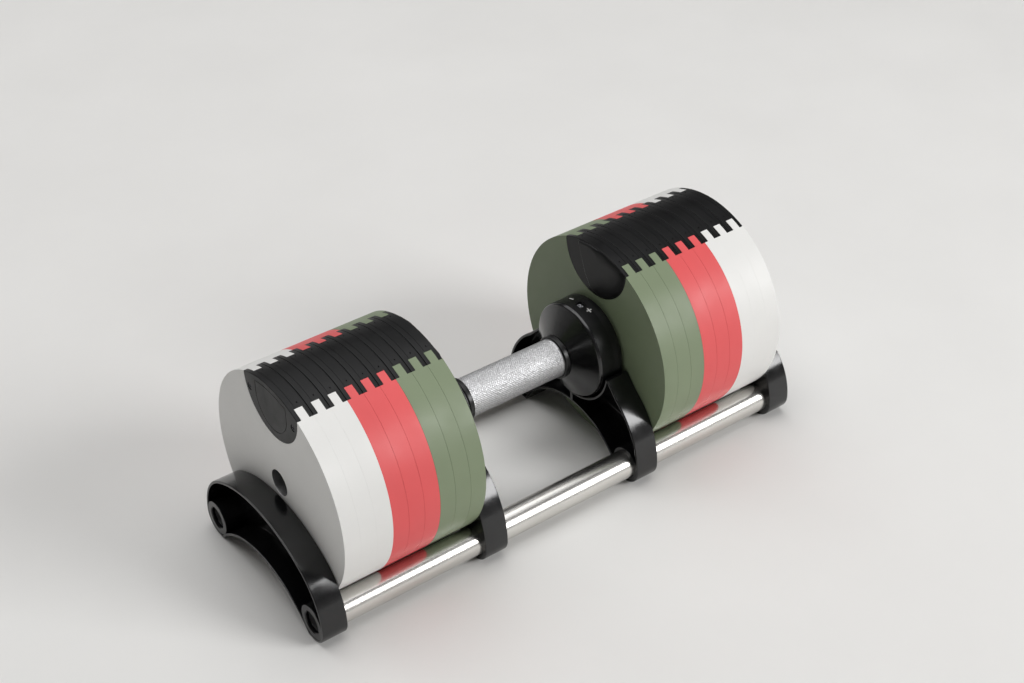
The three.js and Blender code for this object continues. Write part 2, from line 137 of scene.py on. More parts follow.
def arc(centre, radius, start, end, count):
    """Points from one angle to another, both ends included, in degrees."""
    out = []
    for i in range(count + 1):
        a = math.radians(start + (end - start) * i / count)
        out.append((centre[0] + radius * math.cos(a), centre[1] + radius * math.sin(a)))
    return out


def filleted(points, radii, steps=5):
    """A closed outline whose corners are rounded; a radius of 0 leaves one sharp."""
    out = []
    for i, (point, radius) in enumerate(zip(points, radii)):
        corner = Vector(point)
        before = Vector(points[i - 1]) - corner
        after = Vector(points[(i + 1) % len(points)]) - corner
        if radius <= 0:
            out.append(tuple(corner))
            continue
        half = before.angle(after) / 2
        room = 0.49 * min(before.length, after.length)
        cut = min(radius / math.tan(half), room)
        radius = cut * math.tan(half)
        before.normalize()
        after.normalize()
        centre = corner + (before + after).normalized() * radius / math.sin(half)
        first = corner + before * cut - centre
        last = corner + after * cut - centre
        start = math.atan2(first.y, first.x)
        turn = math.atan2(last.y, last.x) - start
        turn = (turn + math.pi) % (2 * math.pi) - math.pi
        for k in range(steps + 1):
            a = start + turn * k / steps
            out.append((centre.x + radius * math.cos(a), centre.y + radius * math.sin(a)))
    return out


def inset(points, distance):
    """The outline moved inwards; it runs anticlockwise and its points lie close together."""
    out = []
    for i, point in enumerate(points):
        before = Vector(points[i - 1])
        after = Vector(points[(i + 1) % len(points)])
        along = (after - before).normalized()
        out.append((point[0] - along.y * distance, point[1] + along.x * distance))
    return out


# ---------------------------------------------------------------- meshes


def piece_from(name, vertices, faces):
    """A piece with its faces pointing out."""
    mesh = bpy.data.meshes.new(name)
    mesh.from_pydata(vertices, [], faces)
    bm = bmesh.new()
    bm.from_mesh(mesh)
    bmesh.ops.recalc_face_normals(bm, faces=bm.faces)
    if bm.calc_volume(signed=True) < 0:
        bmesh.ops.reverse_faces(bm, faces=bm.faces)
    bm.to_mesh(mesh)
    bm.free()
    mesh.validate()
    obj = bpy.data.objects.new(name, mesh)
    bpy.context.scene.collection.objects.link(obj)
    return obj


def rings(name, loops, capped=True):
    """Closed loops of points joined one to the next. Uncapped, the last joins the first."""
    count = len(loops[0])
    vertices = [place(*point) for loop in loops for point in loop]
    faces = []
    for j in range(len(loops) if not capped else len(loops) - 1):
        k = (j + 1) % len(loops)
        for i in range(count):
            n = (i + 1) % count
            faces.append((j * count + i, j * count + n, k * count + n, k * count + i))
    if capped:
        faces.append(tuple(range(count))[::-1])
        faces.append(tuple((len(loops) - 1) * count + i for i in range(count)))
    return piece_from(name, vertices, faces)


def lathe(name, section, segments=128, y=0.0, z=0.0, capped=False):
    """A section of (x, r) points turned about a line along x. Uncapped, it closes on itself."""
    loops = []
    for x, r in section:
        loops.append([(x, y + py, z + pz) for py, pz in arc((0, 0), r, 0, 360, segments)[:-1]])
    return rings(name, loops, capped)


def loft(name, layers):
    """Outlines in (y, z), each at its own x, joined and closed at both ends."""
    return rings(name, [[(x, y, z) for y, z in outline] for x, outline in layers])


def prism(name, outline, x0, x1, edge=0.0):
    """An outline made solid along x, its two ends eased by edge."""
    if edge == 0:
        return loft(name, [(x0, outline), (x1, outline)])
    small = inset(outline, edge)
    half = inset(outline, edge * 0.3)
    return loft(name, [
        (x0, small), (x0 + edge * 0.3, half), (x0 + edge, outline),
        (x1 - edge, outline), (x1 - edge * 0.3, half), (x1, small),
    ])


def cylinder(name, radius, x0, x1, y=0.0, z=0.0, edge=0.0, segments=64):
    """A round bar along x, its two ends eased by edge."""
    section = [(x0, radius), (x1, radius)]
    if edge > 0:
        section = [
            (x0, radius - edge), (x0 + edge * 0.3, radius - edge * 0.3), (x0 + edge, radius),
            (x1 - edge, radius), (x1 - edge * 0.3, radius - edge * 0.3), (x1, radius - edge),
        ]
    return lathe(name, section, segments, y, z, capped=True)


def box_piece(name, x, y, z):
    """A box from its (lowest, highest) x, y and z."""
    outline = [(y[0], z[0]), (y[1], z[0]), (y[1], z[1]), (y[0], z[1])]
    return loft(name, [(x[0], outline), (x[1], outline)])


def combine(obj, others, operation):
    """Joins the others to obj, or cuts them away, and removes them."""
    for other in others:
        step = obj.modifiers.new("step", "BOOLEAN")
        step.operation = operation
        step.solver = "EXACT"
        step.object = other
        settled(obj)
        bpy.data.objects.remove(other)
    return obj


def settled(obj):
    """Makes the modifiers' result the object's own mesh."""
    graph = bpy.context.evaluated_depsgraph_get()
    mesh = bpy.data.meshes.new_from_object(obj.evaluated_get(graph))
    obj.modifiers.clear()
    obj.data = mesh
    return obj


def finished(obj, angle=34):
    """Smooth shading that stays crisp at edges sharper than the angle."""
    obj.data.shade_smooth()
    obj.data.set_sharp_from_angle(angle=math.radians(angle))
    weighted = obj.modifiers.new("weighted", "WEIGHTED_NORMAL")
    weighted.keep_sharp = True
    weighted.weight = 80
    return settled(obj)


def shifted(obj, name, x):
    """A copy of a piece, moved along x, with its own mesh."""
    copy = obj.copy()
    copy.data = obj.data.copy()
    copy.name = name
    copy.data.name = name
    for vertex in copy.data.vertices:
        vertex.co.x += x * MM
    bpy.context.scene.collection.objects.link(copy)
    return copy


def adopt(obj, body, slot, material, *nodes):
    """Gives a piece its body, its material and the nodes it stands for; the slot is not used."""
    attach(obj, body)
    if nodes:
        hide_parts(*nodes)
    obj.data.materials.clear()
    obj.data.materials.append(material)


# ---------------------------------------------------------------- materials


class Material:
    """A Principled material built from layers of noise over the object's own space."""

    def __init__(self, name, **constants):
        self.material = bpy.data.materials.new(name)
        self.material.use_nodes = True
        self.nodes = self.material.node_tree.nodes
        self.links = self.material.node_tree.links
        self.shader = self.nodes["Principled BSDF"]
        for socket, value in constants.items():
            self.shader.inputs[socket.replace("_", " ")].default_value = value
        self.space = self.nodes.new("ShaderNodeTexCoord").outputs["Object"]

    def noise(self, scale, detail=4.0, roughness=0.55, stretch=(1, 1, 1)):
        """Noise over the object's own space, finer along an axis with a larger stretch."""
        mapping = self.nodes.new("ShaderNodeMapping")
        mapping.inputs["Scale"].default_value = stretch
        self.links.new(self.space, mapping.inputs["Vector"])
        texture = self.nodes.new("ShaderNodeTexNoise")
        texture.inputs["Scale"].default_value = scale
        texture.inputs["Detail"].default_value = detail
        texture.inputs["Roughness"].default_value = roughness
        self.links.new(mapping.outputs["Vector"], texture.inputs["Vector"])
        return texture.outputs["Fac"]

    def ranged(self, value, low, high, start=0.3, end=0.7):
        """The value's range from start to end spread over low to high."""
        node = self.nodes.new("ShaderNodeMapRange")
        node.inputs["From Min"].default_value = start
        node.inputs["From Max"].default_value = end
        node.inputs["To Min"].default_value = low
        node.inputs["To Max"].default_value = high
        self.links.new(value, node.inputs["Value"])
        return node.outputs["Result"]

    def ramp(self, value, stops):
        """Colours for the value, from (position, colour) stops."""
        node = self.nodes.new("ShaderNodeValToRGB")
        ramp = node.color_ramp
        while len(ramp.elements) < len(stops):
            ramp.elements.new(0.5)
        for element, (position, color) in zip(ramp.elements, stops):
            element.position = position
            element.color = (*color, 1)
        self.links.new(value, node.inputs["Fac"])
        return node.outputs["Color"]

    def mix(self, factor, first, second):
        """A mix of two colours, each a tuple or another node's output."""
        node = self.nodes.new("ShaderNodeMix")
        node.data_type = "RGBA"
        self.links.new(factor, node.inputs[0])
        for value, socket in ((first, node.inputs[6]), (second, node.inputs[7])):
            if isinstance(value, tuple):
                socket.default_value = (*value, 1)
            else:
                self.links.new(value, socket)
        return node.outputs[2]

    def set(self, socket, value):
        self.links.new(value, self.shader.inputs[socket])

    def bump(self, layers):
        """Layers of (height, strength, distance), the first lying deepest."""
        normal = None
        for height, strength, distance in layers:
            node = self.nodes.new("ShaderNodeBump")
            node.inputs["Strength"].default_value = strength
            node.inputs["Distance"].default_value = distance
            self.links.new(height, node.inputs["Height"])
            if normal is not None:
                self.links.new(normal, node.inputs["Normal"])
            normal = node.outputs["Normal"]
        self.set("Normal", normal)


def tinted(color, factor):
    """The colour made lighter or darker."""
    return tuple(min(1.0, c * factor) for c in color)


def coated(name, color, spread=0.05):
    """Powder coat: an even colour with faint mottling and an orange-peel skin."""
    made = Material(name, IOR=1.46)
    broad = made.noise(16, 3)
    speckle = made.noise(1500, 2)
    stops = [(0.3, tinted(color, 1 - spread)), (0.55, color), (0.75, tinted(color, 1 + spread))]
    toned = made.ramp(broad, stops)
    dusty = made.ranged(speckle, 0.0, 0.09, 0.6, 0.8)
    made.set("Base Color", made.mix(dusty, toned, tinted(color, 0.72)))
    made.set("Roughness", made.ranged(made.noise(42, 5), 0.40, 0.55))
    made.bump([
        (made.noise(620, 2), 0.10, 0.00012),
        (made.noise(2600, 2), 0.10, 0.00004),
    ])
    return made.material


def moulded(name, color, low, high, grain=1900, depth=0.00006, shine=0.42):
    """Moulded plastic: fine spark-eroded grain, faint handling marks and dust."""
    made = Material(name, IOR=1.5, Specular_IOR_Level=shine)
    broad = made.noise(24, 4)
    toned = made.ramp(broad, [(0.3, tinted(color, 0.8)), (0.7, tinted(color, 1.25))])
    dust = made.ranged(made.noise(900, 3, 0.7), 0.0, 0.03, 0.62, 0.8)
    made.set("Base Color", made.mix(dust, toned, (0.19, 0.185, 0.175)))
    scuffs = made.noise(48, 5, 0.6)
    made.set("Roughness", made.ranged(scuffs, low, high))
    made.bump([
        (made.noise(90, 2), 0.06, 0.0003),
        (made.noise(grain, 3), 0.16, depth),
    ])
    return made.material


def metal(name, color, low, high, stretch=(1, 1, 1), scale=300, depth=0.00002):
    """Bare or plated metal with fine lines along one direction and faint smudges."""
    made = Material(name, Metallic=1.0)
    smudge = made.noise(20, 5)
    made.set("Base Color", made.ramp(smudge, [(0.3, tinted(color, 0.92)), (0.7, color)]))
    lines = made.noise(scale, 4, 0.6, stretch)
    blend = made.mix(made.ranged(smudge, 0.35, 0.65), (low,) * 3, (high,) * 3)
    streaks = made.mix(made.ranged(lines, 0.0, 0.5), blend, (high,) * 3)
    made.set("Roughness", streaks)
    made.bump([(lines, 0.10, depth)])
    return made.material


def knurled_steel():
    """Steel bruised by the knurling tool: dark and bright specks, and faint rings."""
    made = Material("grip_steel", Metallic=1.0)
    specks = made.noise(760, 3, 0.6)
    circles = made.noise(420, 2, 0.5, (1, 0.02, 0.02))
    tone = made.ramp(specks, [(0.36, (0.44, 0.44, 0.45)), (0.62, (0.68, 0.68, 0.69))])
    dulled = made.ranged(circles, 0.0, 0.35, 0.45, 0.62)
    made.set("Base Color", made.mix(dulled, tone, (0.46, 0.46, 0.465)))
    made.set("Roughness", made.ranged(specks, 0.52, 0.42))
    made.bump([(made.noise(1300, 3), 0.22, 0.0001)])
    return made.material


WHITE = coated("coat_white", (0.79, 0.785, 0.765), 0.03)
RED = coated("coat_red", (0.76, 0.10, 0.104))
GREEN = coated("coat_green", (0.205, 0.252, 0.155))
COATS = {"green": GREEN, "red": RED, "white": WHITE}
INSERT = moulded("insert_nylon", (0.0065, 0.0065, 0.007), 0.28, 0.44, 1500, 0.00008, 0.22)
PANEL = moulded("insert_panel", (0.066, 0.066, 0.068), 0.5, 0.65, 1200, 0.00008, 0.3)
BRACKET = moulded("bracket_abs", (0.0045, 0.0045, 0.005), 0.11, 0.23, 1900, 0.00003, 0.58)
COLLAR = moulded("collar_abs", (0.006, 0.006, 0.0065), 0.13, 0.24, 1900, 0.00003, 0.7)
DRUM = moulded("drum_abs", (0.006, 0.006, 0.0065), 0.26, 0.38)
WHEEL = moulded("wheel_abs", (0.012, 0.012, 0.013), 0.4, 0.55)
CHROME = metal("chrome", (0.70, 0.685, 0.655), 0.23, 0.27, (1, 30, 30), 40, 0.000002)
GRIP = knurled_steel()
ROD = metal("rod_steel", (0.50, 0.51, 0.52), 0.28, 0.42, (1, 12, 12), 200)
# dark grey metal for the plates' and tubes' bores: painted shade for the inside of deep holes, not a
# bare steel finish
BORE = metal("bore_painted_shade", (0.34, 0.34, 0.34), 0.45, 0.6)
SCREW = metal("screw_steel", (0.07, 0.07, 0.075), 0.35, 0.5)
INK = coated("ink_white", (0.70, 0.70, 0.69), 0.03)
INK_GREY = coated("ink_grey", (0.56, 0.57, 0.60), 0.03)


# ---------------------------------------------------------------- plates and inserts


def plate_start(n):
    """Distance from the middle to the near face of the nth plate."""
    return STACK_INNER + (n - 1) * PITCH + PLATE_GAP / 2


def spool(name, x0, x1, extra, overrun, edge):
    """Two flanges with a waist between them, about the insert's centre line.

    extra makes it larger all round, and overrun longer at both ends.
    """
    step = FLANGE + extra
    wide = INSERT_R + extra
    waist = CORE_R + extra
    section = [
        (x0 - overrun, 0.5), (x0 - overrun, wide), (x0 + step, wide), (x0 + step, waist),
        (x1 - step, waist), (x1 - step, wide), (x1 + overrun, wide), (x1 + overrun, 0.5),
    ]
    section = filleted(section, [0, edge, edge, 0, 0, edge, edge, 0], 3)
    return lathe(name, section, 144, 0, INSERT_Z, capped=True)


def plate(grow, ease):
    """A plate from x = 0 to THICK, thicker by grow on both sides, its rim eased by ease."""
    section = [
        (-grow, HOLE_R), (THICK + grow, HOLE_R), (THICK + grow, PLATE_R), (-grow, PLATE_R),
    ]
    body = lathe("plate", filleted(section, [0.5, 0.5, ease, ease], 2), 240)
    cutter = spool("cutter", 0, THICK, GAP - 0.1, 2.0, 0)
    return finished(combine(body, [cutter], "DIFFERENCE"), 30)


def pad_outline():
    """The raised pad of the innermost insert: its front side ends at the insert's own edge."""
    top = [(21.2, 86.5), (8, 88.9), (-8, 88.9), (-33.2, 83.2)]
    front = arc((0, INSERT_Z), INSERT_R - 0.8, 184, 262, 20)
    rear = [(4, 50), (11.2, 59.5)]
    return filleted(top + front + rear, [1.5, 20, 60, 1.5] + [0] * len(front) + [6, 14], 6)


def softened(outline, distance):
    """The pad's outline drawn towards its middle, further on its front side, which slopes gently."""
    middle = Vector((1.5, 71.0))
    out = []
    for point in outline:
        inwards = (middle - Vector(point)).normalized()
        front = min(1.0, max(0.0, (3 - point[0]) / 14))
        moved = Vector(point) + inwards * distance * (1 + 3.6 * front * front * (3 - 2 * front))
        out.append(tuple(moved))
    return out


def panel_outline():
    """The engraved panel of the outermost insert."""
    side = arc((0, PANEL_Z), 21.6, 180, 360, 40)
    top = arc((0, 0), 85.6, 75.4, 104.6, 20)
    return filleted(side + top, [0] * len(side) + [1] + [0] * (len(top) - 2) + [1], 4)


def frame_cutter(name, outline, width, x0, x1):
    """The groove that a band of the given width along the outline leaves."""
    inner = inset(outline, width)
    layers = [(x0, outline), (x1, outline), (x1, inner), (x0, inner)]
    return rings(name, [[(x, y, z) for y, z in line] for x, line in layers], capped=False)


def cut_parting_line(body):
    """The line round the rim where the insert's two halves meet."""
    x = THICK - FLANGE - 1.6
    width = 0.26
    low = PLATE_R - 0.3
    high = PLATE_R + 1
    groove = lathe("groove", [(x, low), (x + width, low), (x + width, high), (x, high)], 240)
    combine(body, [groove], "DIFFERENCE")


def cut_latch_pockets(body):
    """A small pocket in the rim next to each tooth."""
    pockets = []
    for way in (-1, 1):
        lean = math.radians(90 + way * LATCH_ANGLE)
        y = PLATE_R * math.cos(lean)
        z = PLATE_R * math.sin(lean)
        outline = [(y - 0.7, z - 0.5), (y + 0.7, z - 0.7), (y + 0.8, z + 3), (y - 0.8, z + 3)]
        pockets.append(loft("pocket", [(x, outline) for x in LATCH_X]))
    combine(body, pockets, "DIFFERENCE")


def add_pad(body):
    """The innermost insert's pad, with a narrow groove along its rear edge."""
    outline = pad_outline()
    pad = loft("pad", [
        (1.0, outline), (-0.1, outline), (-0.7, softened(outline, 0.15)),
        (-1.25, softened(outline, 0.5)), (-1.65, softened(outline, 1.0)),
        (-PAD + 0.04, softened(outline, 1.6)), (-PAD, softened(outline, 2.3)),
    ])
    disc = cylinder("disc", PLATE_R - 0.2, -PAD - 1, 2, segments=240)
    combine(pad, [disc], "INTERSECT")
    combine(body, [pad], "UNION")
    half = len(outline) // 2
    edge = [i for i, point in enumerate(outline) if i > half and point[0] > 4.2] + [0]
    wide = inset(outline, -0.8)
    strip = [outline[i] for i in edge] + [wide[i] for i in reversed(edge)]
    combine(body, [loft("strip", [(-2, strip), (1.0, strip)])], "DIFFERENCE")


def cut_outer_face(body):
    """The outermost insert's panel line, and a well for each of its screws."""
    line = frame_cutter("u", panel_outline(), 0.6, THICK - 0.4, THICK + 1)
    combine(body, [line], "DIFFERENCE")
    wells = []
    for y in (-SCREW_Y, SCREW_Y):
        wells.append(cylinder("well", 3.0, THICK - 2.6, THICK + 1, y, SCREW_Z, segments=40))
    combine(body, wells, "DIFFERENCE")


def insert(n, side):
    """An insert from x = 0 outwards; the first and the last have features of their own."""
    body = spool("insert", 0, THICK, 0, 0, 0.25)
    section = [(0, 1), (THICK, 1), (THICK, PLATE_R), (0, PLATE_R)]
    disc = lathe("disc", filleted(section, [0, 0, 0.55, 0.55], 3), 240, capped=True)
    combine(body, [disc], "INTERSECT")
    cut_parting_line(body)
    cut_latch_pockets(body)
    if n == 1:
        add_pad(body)
    if n == PLATES:
        cut_outer_face(body)
    if side < 0:
        flip(body)
    return finished(body, 30)


def paint_bore_shade(obj, radius, y=0.0, z=0.0):
    """The surface of a bore along x, up to the given radius, gets a dark grey metal as painted shade
    deep in the hole.
    """
    obj.data.materials.append(BORE)
    for polygon in obj.data.polygons:
        out = math.hypot(polygon.center.y / MM - y, polygon.center.z / MM - AXIS - z)
        if out < radius and abs(polygon.normal.x) < 0.7:
            polygon.material_index = 1


def flip(obj):
    """The piece seen in a mirror at x = 0."""
    for vertex in obj.data.vertices:
        vertex.co.x = -vertex.co.x
    obj.data.flip_normals()


def panel_faces(obj, material):
    """The part of the outer face inside the engraved line has its own matt finish."""
    obj.data.materials.append(material)
    radius = 21
    bottom = 51.5
    top = max(z for y, z in panel_outline()) - 0.4
    for polygon in obj.data.polygons:
        y = polygon.center.y / MM
        z = polygon.center.z / MM - AXIS
        inside = abs(y) < radius and bottom < z < top
        inside = inside and math.hypot(y, min(0, z - PANEL_Z)) < radius
        if abs(polygon.normal.x) > 0.99 and inside and polygon.area > 2e-4:
            polygon.material_index = 1


def cap_screw(name, y, side):
    """A flat head with a cross recess, just below the face of the insert's ear."""
    top = plate_start(PLATES) + THICK - 0.35
    radius = 2.65
    section = [(top - 2, 0.05), (top - 2, radius), (top, radius), (top, 0.05)]
    body = lathe(name, filleted(section, [0, 0, 0.35, 0], 4), 48, y, SCREW_Z, capped=True)
    bars = []
    for half_y, half_z in ((1.7, 0.35), (0.35, 1.7)):
        bars.append(box_piece("bar", (top - 0.9, top + 1), (y - half_y, y + half_y),
                              (SCREW_Z - half_z, SCREW_Z + half_z)))
    combine(body, bars, "DIFFERENCE")
    if side < 0:
        flip(body)
    return finished(body)


def build_stacks():
    # the joints between white plates are finer, so those plates are wider and sharper-edged
    discs = {"green": plate(0.0, 0.09), "white": plate(0.045, 0.03)}
    discs["red"] = discs["green"]
    for side_name, side in SIDES:
        plain = insert(0, side)
        for n in range(1, PLATES + 1):
            band = BANDS[(n - 1) // 3]
            body = f"weight_{side_name}_{n}"
            start = plate_start(n)
            x = start if side > 0 else -start - THICK
            made = shifted(discs[band], f"disc_{side_name}_{n}", x)
            adopt(made, body, f"plate_{band}", COATS[band], f"plate_{side_name}_{n}")
            # the plate's centre hole gets painted shade on its wall
            paint_bore_shade(made, HOLE_R + 0.2)
            special = n in (1, PLATES)
            source = insert(n, side) if special else plain
            made = shifted(source, f"wedge_{side_name}_{n}", side * start)
            adopt(made, body, "insert_plastic", INSERT, f"insert_{side_name}_{n}")
            if n == PLATES:
                panel_faces(made, PANEL)
            if special:
                bpy.data.objects.remove(source)
        bpy.data.objects.remove(plain)
        for place_name, y in (("front", -SCREW_Y), ("rear", SCREW_Y)):
            made = cap_screw(f"cap_screw_{side_name}_{place_name}", y, side)
            adopt(made, f"weight_{side_name}_{PLATES}", "screw_steel", SCREW,
                  f"screw_{side_name}_{place_name}")
    for band in ("green", "white"):
        bpy.data.objects.remove(discs[band])


# ---------------------------------------------------------------- cradle


def end_outline(grow):
    """Outline of an end bracket, anticlockwise, moved inwards by grow."""
    top_r = 120.0
    top_z = -132.2
    arch_r = 86.0
    arch_z = -148.0
    rise = FOOT_Z - top_z
    blend = (top_r ** 2 - SIDE_Y ** 2 - rise ** 2) / (2 * (top_r - SIDE_Y))
    lean = math.degrees(math.atan2(rise, SIDE_Y - blend))
    foot = FOOT_R - grow
    dip = math.degrees(math.asin((FOOT_Z - foot - arch_z) / (arch_r + grow)))
    line = arc((0, top_z), top_r - grow, lean, 180 - lean, 60)
    line += arc((blend - SIDE_Y, FOOT_Z), blend - grow, 180 - lean, 180, 16)[1:]
    line += arc((-FOOT_Y, FOOT_Z), foot, 180, 270, 16)[1:]
    line += arc((0, arch_z), arch_r + grow, 180 - dip, dip, 60)
    line += arc((FOOT_Y, FOOT_Z), foot, 270, 360, 16)
    line += arc((SIDE_Y - blend, FOOT_Z), blend - grow, 0, lean, 16)[1:-1]
    return line


def saddle_outline(grow):
    """Outline of a bracket under the handle, anticlockwise, moved inwards by grow."""
    shoulder = 71.0
    lean = 54.7
    arch_r = 70.0
    arch_z = -124.0
    foot = FOOT_R - grow
    saddle = SADDLE_R + grow
    horn_z = -5.5 - grow
    horn = math.degrees(math.asin(horn_z / saddle))
    horn_y = saddle * math.cos(math.radians(horn)) + 3.0 - grow
    dip = math.degrees(math.asin((FOOT_Z - foot - arch_z) / (arch_r + grow)))
    line = [(horn_y, horn_z)]
    line += arc((0, 0), saddle, horn, -180 - horn, 72)
    line += [(-horn_y, horn_z)]
    line += arc((shoulder - SIDE_Y, FOOT_Z), shoulder - grow, 180 - lean, 180, 24)
    line += arc((-FOOT_Y, FOOT_Z), foot, 180, 270, 16)[1:]
    line += arc((0, arch_z), arch_r + grow, 180 - dip, dip, 60)
    line += arc((FOOT_Y, FOOT_Z), foot, 270, 360, 16)
    line += arc((SIDE_Y - shoulder, FOOT_Z), shoulder - grow, 0, lean, 24)[1:]
    return line


def shell(name, outline, back, web, front):
    """An open-faced moulding: a web from back to web and a rim that runs on to front."""
    way = 1 if front > back else -1
    layers = [
        (back, 0.7), (back + way * 0.2, 0.2), (back + way * 0.7, 0.02),
        (front - way * 0.8, 0.02), (front - way * 0.25, 0.25), (front, 0.8),
        (front, RIM - 0.75), (front - way * 0.2, RIM - 0.22), (front - way * 0.7, RIM),
        (web + way * 1.2, RIM), (web + way * 0.35, RIM + 0.35), (web, RIM + 1.2),
    ]
    return loft(name, [(x, outline(grow)) for x, grow in layers])


def end_bracket(name, side):
    """An end bracket, open outwards, with a boss round each tube's end."""
    body = shell(name, end_outline, END_X[0], END_X[0] + WEB, END_X[1])
    bosses = []
    bores = []
    for y in (-TUBE_Y, TUBE_Y):
        bosses.append(cylinder("boss", BOSS_R, END_X[0] + 1, END_X[1] - 0.05, y, TUBE_Z, 0.7, 72))
        bores.append(cylinder("bore", TUBE_R + GAP, END_X[0] - 1, END_X[1] - 3, y, TUBE_Z, segments=72))
        mouth = lathe("mouth", [
            (END_X[1] - 4, BOSS_HOLE), (END_X[1] - 0.8, BOSS_HOLE), (END_X[1] + 0.2, BOSS_HOLE + 1.0),
            (END_X[1] + 2, BOSS_HOLE + 1.0),
        ], 72, y, TUBE_Z, capped=True)
        bores.append(mouth)
    combine(body, bosses, "UNION")
    combine(body, bores, "DIFFERENCE")
    if side < 0:
        flip(body)
    return finished(body)


def saddle_bracket(name, side):
    """A bracket under the handle, open inwards; the right one has the lock pin's post."""
    body = shell(name, saddle_outline, SADDLE_X[1], SADDLE_X[1] - WEB, SADDLE_X[0])
    bosses = []
    bores = []
    for y in (-TUBE_Y, TUBE_Y):
        bosses.append(cylinder("boss", BOSS_R, SADDLE_X[0] + 0.05, SADDLE_X[1] - 1, y, TUBE_Z, 0.7, 72))
        bores.append(cylinder("bore", TUBE_R + GAP, SADDLE_X[0] - 1, SADDLE_X[1] + 1, y, TUBE_Z,
                              segments=72))
    if side > 0:
        low, high = POST_Z
        post = filleted([(-1.5, low), (1.5, low), (1.5, high), (-1.5, high)], [0, 0, 0.4, 0.4], 3)
        bosses.append(prism("post", post, SADDLE_X[0] + 0.1, SADDLE_X[1] - 1))
    combine(body, bosses, "UNION")
    combine(body, bores, "DIFFERENCE")
    if side < 0:
        flip(body)
    return finished(body)


def build_cradle():
    for side_name, side in SIDES:
        made = end_bracket(f"end_bracket_{side_name}", side)
        adopt(made, "cradle", "bracket_plastic", BRACKET, f"bracket_end_{side_name}")
        made = saddle_bracket(f"saddle_bracket_{side_name}", side)
        adopt(made, "cradle", "bracket_plastic", BRACKET, f"bracket_inner_{side_name}")
    section = filleted([
        (-TUBE_HALF, TUBE_BORE), (TUBE_HALF, TUBE_BORE), (TUBE_HALF, TUBE_R), (-TUBE_HALF, TUBE_R),
    ], [0.3, 0.3, 0.5, 0.5], 3)
    for place_name, y in (("front", -TUBE_Y), ("rear", TUBE_Y)):
        made = lathe(f"rail_{place_name}", section, 144, y, TUBE_Z)
        adopt(finished(made), "cradle", "tube_chrome", CHROME, f"tube_{place_name}")
        # the tube's bore gets painted shade on its wall
        paint_bore_shade(made, TUBE_BORE + 0.2, y, TUBE_Z)


# ---------------------------------------------------------------- handle


def knurled_grip():
    """The grip, with a fine diamond knurl, unevenly worn, between the neck rings."""
    around = 46
    per_diamond = 6
    segments = around * per_diamond
    pitch = 2 * math.pi * GRIP_R / around
    step = pitch / per_diamond
    depth = 0.6
    narrow = 1.7  # the larger, the narrower the grooves between the diamonds
    fade_length = 0.8
    smooth_r = GRIP_R - 0.1
    flange_x = GRIP_HALF - 3.8
    section = [
        (-GRIP_HALF, GRIP_BORE), (GRIP_HALF, GRIP_BORE), (GRIP_HALF, GRIP_FLANGE_R),
        (flange_x, GRIP_FLANGE_R), (flange_x, smooth_r),
    ]
    section = filleted(section, [0, 0.3, 0.4, 0.4, 0], 3)[:-1]
    count = round(2 * KNURL_HALF / step)
    knurl_x = [KNURL_HALF - 2 * KNURL_HALF * i / count for i in range(count + 1)]
    rest = [(-flange_x, smooth_r), (-flange_x, GRIP_FLANGE_R), (-GRIP_HALF, GRIP_FLANGE_R)]
    loops = []

    def ring(x, radii):
        loop = []
        for i in range(segments):
            a = 2 * math.pi * i / segments
            loop.append((x, radii[i] * math.cos(a), radii[i] * math.sin(a)))
        loops.append(loop)

    for x, r in section:
        ring(x, [r] * segments)
    ring(KNURL_HALF + 1.2, [smooth_r] * segments)
    for x in knurl_x:
        fade = min(1.0, (KNURL_HALF - abs(x)) / fade_length)
        radii = []
        for i in range(segments):
            u = i / per_diamond
            v = x / pitch
            first = abs(((u + v) % 1.0) - 0.5) * 2
            second = abs(((u - v) % 1.0) - 0.5) * 2
            cut = max(1 - first * narrow, 1 - second * narrow, 0)
            worn = 0.75 + 0.5 * noise.noise(Vector((x * 0.9, i * 0.35, 3.0)))
            radii.append(GRIP_R - 0.02 - depth * cut * fade * worn)
        ring(x, radii)
    ring(-KNURL_HALF - 1.2, [smooth_r] * segments)
    for x, r in rest:
        ring(x, [r] * segments)
    made = rings("knurled_grip", loops, capped=False)
    made.data.shade_smooth()
    made.data.set_sharp_from_angle(angle=math.radians(50))
    return made


def side_lathe(name, section, radii, side, steps=5):
    """A turned piece of the right half, or its mirror image on the left."""
    made = lathe(name, filleted(section, radii, steps), 144)
    if side < 0:
        flip(made)
    return made


def neck_ring(name, side):
    """The thin ring between the grip's knurl and the cone."""
    bore = GRIP_R + GAP
    section = [(NECK_X[0], bore), (NECK_X[1], bore), (NECK_X[1], NECK_R), (NECK_X[0], NECK_R)]
    return finished(side_lathe(name, section, [0.2, 0.2, 0.7, 1.0], side))


def cone(name, side):
    """The collar, flaring in a slight curve from the neck ring to the drum."""
    bore = GRIP_R + GAP
    recess = GRIP_FLANGE_R + GAP
    section = [
        (CONE_X[0], bore), (CONE_RECESS_X, bore), (CONE_RECESS_X, recess), (CONE_X[1], recess),
        (CONE_X[1], 40.76), (61.6, 40.3), (55.5, 29.0), (CONE_X[0], 18.3),
    ]
    radii = [0.2, 0, 0, 0, 0.08, 2.6, 24, 0.8]
    return finished(side_lathe(name, section, radii, side, steps=8), 40)


def half_round(radius, flat, way):
    """Half a circle in (y, z), anticlockwise: above the flat for way 1, below for -1."""
    lift = math.degrees(math.asin(flat / radius))
    turn = 0 if way > 0 else 180
    return arc((0, 0), radius, turn + lift, turn + 180 - lift, 48)


def upright(name, x, radius, heights):
    """A round bar along z, between two heights above the axis."""
    outline = arc((x, 0), radius, 0, 360, 32)[:-1]
    return rings(name, [[(px, py, z) for px, py in outline] for z in heights])


